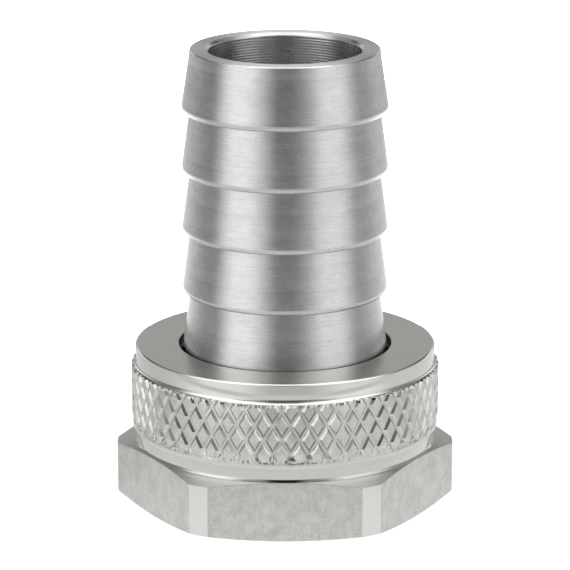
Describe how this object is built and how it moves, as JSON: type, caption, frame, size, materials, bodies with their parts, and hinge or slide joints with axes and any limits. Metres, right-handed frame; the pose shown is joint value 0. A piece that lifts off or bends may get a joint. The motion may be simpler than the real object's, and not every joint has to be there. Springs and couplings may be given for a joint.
{
  "type": "hose coupling",
  "caption": "Barbed stainless steel hose shank with a swivelling nut: hexagon, knurled collar, internal garden hose thread and a flat rubber washer inside.",
  "frame": {"origin": "centre of the nut's open mouth, on the common axis", "axes": "+Z along the axis from the nut's mouth to the barbed tip; two of the hexagon's corners lie on +X and -X, and two of its flats face +Y and -Y"},
  "size_m": [0.0354, 0.0322, 0.0481],
  "materials": {
    "nut_steel": "bright machined stainless steel, fine mottle on the hexagon's flats, cut diamond knurl",
    "shank_steel": "bright turned stainless steel with fine circular tool lines",
    "washer_rubber": "matt black moulded rubber"
  },
  "bodies": {
    "nut": {"swivel_nut": "nut_steel"},
    "washer": {"hose_washer": "washer_rubber"},
    "shank": {"hose_shank": "shank_steel"}
  },
  "joints": [
    {"name": "swivel", "type": "hinge", "parent": "nut", "child": "washer", "pos_m": [0, 0, 0], "axis": [0, 0, 1], "continuous": true},
    {"name": "end_play", "type": "slide", "parent": "washer", "child": "shank", "axis": [0, 0, 1], "range_m": [0, 0.0005]}
  ]
}
